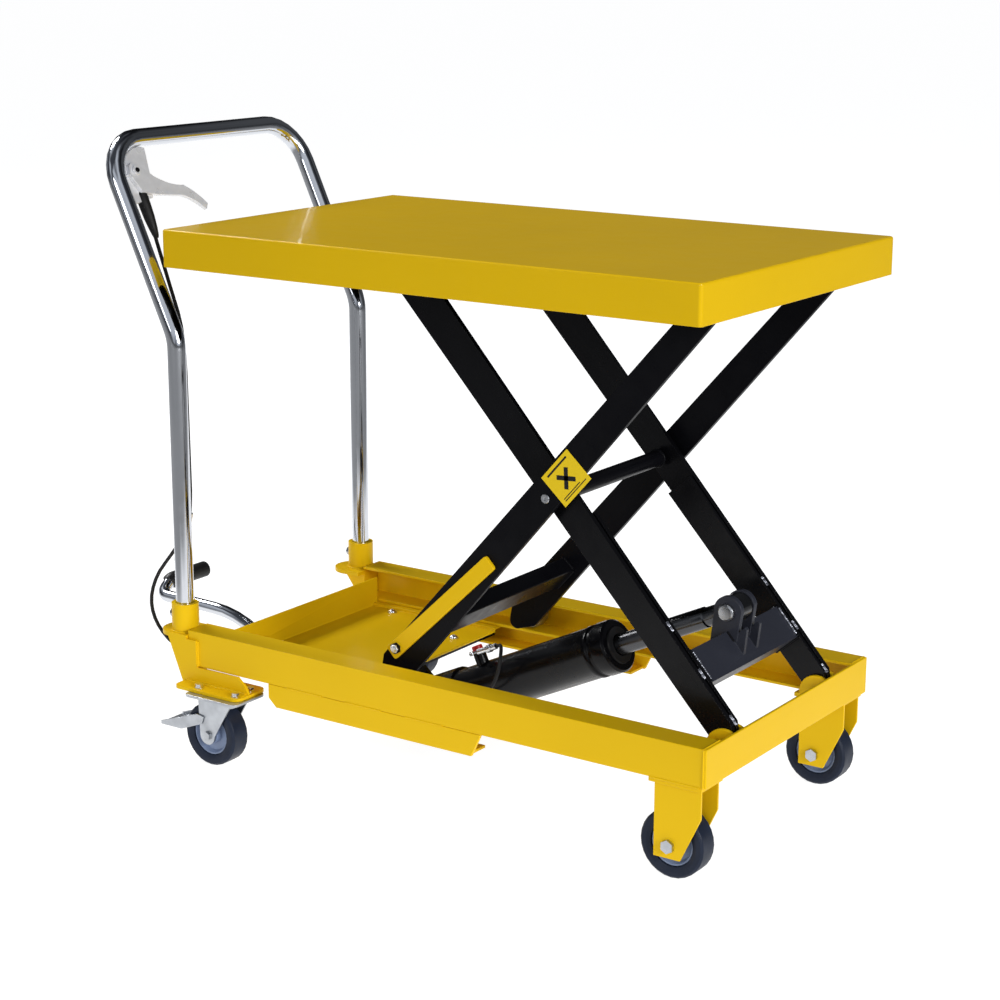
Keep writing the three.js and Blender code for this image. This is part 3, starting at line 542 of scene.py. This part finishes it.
def make_arm_details():
    """Welds, pin ends and the safety bar's bolt on the arms."""
    low, high = at(ARM_FRONT, 0, ARM_LOW), at(ARM_REAR, 0, ARM_HIGH)
    along = (high - low).normalized()
    across = Vector((along.z, 0, -along.x))

    def on_arm(u, v, y):
        """A point of the inner arms: u up the arm from its front pin, v across it towards the front."""
        return low + along * u * MM + across * v * MM + Y * y * MM

    beads = bmesh.new()
    for side in SIDES:
        for v in (14, -12):
            add_weld(beads, [on_arm(u, v, side * 124.8) for u in (26, 316)], 1.5, 3.0)
            add_weld(beads, [on_arm(u, v, side * 121.2) for u in (26, 316)], 1.5, 3.0)
        for u in (74, 122):
            add_weld(beads, [on_arm(u, v, side * 114.6) for v in (-18, 24)], 2.2, 3.0)
        for v in (-18, 24):
            add_weld(beads, [on_arm(u, v, side * 114.6) for u in (74, 122)], 2.2, 3.0)
        for y in (21.2, 12.8):
            add_weld(beads, [on_arm(u, 24.2, side * y) for u in (106, 121)], 1.8, 3.0)
        add_weld(beads, circle(at(CENTRE_PIN[0], side * 114.6, CENTRE_PIN[1]), Y, 11.2), 1.8, 2.8)
    from_bmesh("inner_arm_welds", beads, BLACK, "inner_arms", 60)

    # Short welds that tie the doubled plates of each inner arm together along its edge; the welds are real,
    # and their lighter grey metal is painted highlight for the bright glints the beads catch.
    ties = bmesh.new()
    for side in SIDES:
        for u in (14, 82, 152):
            for y in (124.2, 121.8):
                spot = [on_arm(u + i * 3.4, 24.4, side * (y + (0.5 if i % 2 else -0.5))) for i in range(5)]
                add_weld(ties, spot, 1.7, 3.4)
        for v in (-6, 10):
            add_weld(ties, [on_arm(122.6, v + i * 2.5, side * (113.6 - i % 2)) for i in range(5)], 1.8, 3.2)
        add_weld(ties, [on_arm(78 + i * 5, 24.8, side * (113.4 - 0.8 * (i % 2))) for i in range(9)], 2.0, 3.2)
    from_bmesh("weld_ties_painted_highlight", ties, WELD_PAINTED_HIGHLIGHT, "inner_arms", 60)

    caps = bmesh.new()
    for side in SIDES:
        centre = at(CENTRE_PIN[0], side * 155.9, CENTRE_PIN[1])
        end = [(0, 0), (6.2, 0), (6.2, 1.6), (5.4, 2.4), (2.2, 2.4), (1.6, 1.9), (0, 1.9)]
        add_turned(caps, end, centre, Y * side, 24)
    from_bmesh("centre_pin_ends", caps, STEEL, "inner_arms")

    pin = bmesh.new()
    for side in SIDES:
        end = [(0, 0), (10.4, 0), (10.4, 0.8), (9, 1.8), (0, 2.2)]
        add_turned(pin, end, at(RAM_PIN[0], side * 26.8, RAM_PIN[1]), Y * side, 32)
    from_bmesh("clevis_pin_ends", pin, STEEL, "inner_arms")

    top, bottom = at(ARM_FRONT, 0, ARM_HIGH), at(ARM_REAR, 0, ARM_LOW)
    down = (bottom - top).normalized()
    side_way = Vector((-down.z, 0, down.x))
    length = (bottom - top).length / MM

    def on_outer(u, v, side):
        """A point inside an outer arm: u down the arm from its top front pin, v across it."""
        return top + down * u * MM + side_way * v * MM + Y * side * 148.5 * MM

    beads = bmesh.new()
    for side in SIDES:
        for u in (length - 134, length - 92):
            add_weld(beads, [on_outer(u, v, side) for v in (-11, 11)], 2.2, 3.0)
        for v in (-12, 12):
            add_weld(beads, [on_outer(u, v, side) for u in (length - 133, length - 93)], 2.2, 3.0)
    from_bmesh("outer_arm_welds", beads, BLACK, "outer_arms", 60)

    bolt = bmesh.new()
    add_bolt(bolt, at(26, -163.2, 200), -Y, 7, washer=True, nut=True)
    from_bmesh("safety_bar_bolt", bolt, BRIGHT, "outer_arms")


def make_sticker():
    """A plain square label with a generic crossed-bars mark and three blank rules, on the near outer arm."""
    centre = at(287.5, -157.25, 466.6)
    along = (at(ARM_FRONT, 0, ARM_HIGH) - at(ARM_REAR, 0, ARM_LOW)).normalized()
    up = Vector((-along.z, 0, along.x))

    def patch(bm, u0, v0, u1, v1, lift, turn=0.0):
        corners = []
        for u, v in ((u0, v0), (u1, v0), (u1, v1), (u0, v1)):
            a = u * math.cos(turn) - v * math.sin(turn)
            b = u * math.sin(turn) + v * math.cos(turn)
            corners.append(centre + (along * a + up * b) * MM - Y * lift * MM)
        back = [c + Y * 0.1 * MM for c in corners]
        front = [bm.verts.new(c) for c in corners]
        rear = [bm.verts.new(c) for c in back]
        bm.faces.new(front)
        bm.faces.new(list(reversed(rear)))
        for k in range(4):
            bm.faces.new((front[k], rear[k], rear[(k + 1) % 4], front[(k + 1) % 4]))

    label = bmesh.new()
    patch(label, -28, -24.5, 28, 24.5, 0.25)
    from_bmesh("arm_label", label, STICKER, "outer_arms")
    mark = bmesh.new()
    for turn in (math.radians(45), math.radians(-45)):
        patch(mark, -14, -3, 14, 3, 0.4, turn)
    patch(mark, -20, 17.5, 20, 20, 0.4)
    patch(mark, -22, -20, 22, -18.8, 0.4)
    patch(mark, -22, -17, 12, -15.8, 0.4)
    from_bmesh("arm_label_mark", mark, INK, "outer_arms")


# ---------------------------------------------------------------- handle, lever and cable
def make_handle_details():
    """The lever's rubber boot and rivet, and the cable's clip on the near post."""
    slope = Vector((-122, 0, 259)).normalized()
    out = Y.cross(slope)
    corner = at(-440, 0, 844)

    def on_slope(a, b, c=0.0):
        return corner + (Y * a + slope * b + out * c) * MM

    boot = bmesh.new()
    start, end = on_slope(-163, -78, -1), on_slope(-164, -150, -1)
    sides = [(7.4, 0), (8.4, 3), (8.2, 20), (7.6, 36), (6.0, 52), (4.4, 62), (3.0, 66)]
    add_turned(boot, [(0, 0)] + sides + [(0, 66)], start, end - start, 24)
    from_bmesh("lever_boot", boot, RUBBER, "base")

    rivet = bmesh.new()
    dome = [(0, 0), (3.6, 0), (3.2, 1.4), (1.8, 2.2), (0, 2.4)]
    add_turned(rivet, dome, on_slope(-167, -49, 11.9), out, 24)
    from_bmesh("lever_rivet", rivet, BLACK, "base")

    clip = bmesh.new()
    grip = [(2.7, -7), (4.6, -7), (4.6, 7), (2.7, 7), (2.7, -7)]
    add_turned(clip, grip, at(-321, -180.9, 330), Vector((7, 0.2, 36)), 20)
    from_bmesh("cable_clip", clip, BRIGHT, "base")


# ---------------------------------------------------------------- hydraulic unit
def make_unit_details():
    """The ram's wiper, the cable's end at the valve, the valve's cap and the pump's bolts."""
    back = Vector((-math.cos(UNIT_SLOPE), 0, -math.sin(UNIT_SLOPE)))
    pin = at(RAM_PIN[0], 0, RAM_PIN[1])
    up = Vector((back.z, 0, -back.x))
    rings = bmesh.new()
    lip = [(15.2, 188.6), (25, 188.6), (25.4, 190), (25.4, 196), (15.2, 196), (15.2, 188.6)]
    add_turned(rings, lip, pin, back, 40)
    from_bmesh("ram_wiper", rings, RUBBER, "pump_unit")

    def on_unit(s, above, y):
        """A point of the unit: s back from the ram's pin, and a height above the bore."""
        return pin + back * s * MM + up * above * MM + Y * y * MM

    sleeve = bmesh.new()
    steps = [
        (2.7, 0), (4.2, 0), (4.2, 9), (5.6, 9.4), (5.6, 16), (4.2, 16.4), (4.2, 33), (2.7, 33), (2.7, 0),
    ]
    add_turned(sleeve, steps, on_unit(370, 51.4, -20), back, 24)
    from_bmesh("cable_fitting", sleeve, BRIGHT, "base")

    wire = bmesh.new()
    add_turned(wire, [(0, 0), (0.8, 0), (0.8, 8), (0, 8)], on_unit(403.6, 51.4, -20), back, 12)
    add_turned(wire, [(0, 0), (3, 0), (3, 6), (0, 6)], on_unit(415, 49, -20), up, 16)
    from_bmesh("cable_wire", wire, BRIGHT, "release_valve_arm")

    cap = bmesh.new()
    add_turned(cap, [(0, 0), (7.6, 0), (7.6, 5.4), (6.8, 6.6), (0, 6.6)], on_unit(415, 53.3, -4), up, 24)
    from_bmesh("valve_cap", cap, RED, "release_valve_arm")

    bolts = bmesh.new()
    for x, z in ((-60, 40), (-60, 76), (8, 40), (8, 76)):
        add_bolt(bolts, at(x, -58, z), -Y, 5, washer=False, nut=False)
    from_bmesh("pump_bolts", bolts, ZINC, "pump_unit")


make_camera()
make_studio()
skin_everything()
make_base_details()
make_arm_details()
make_sticker()
make_handle_details()
make_unit_details()
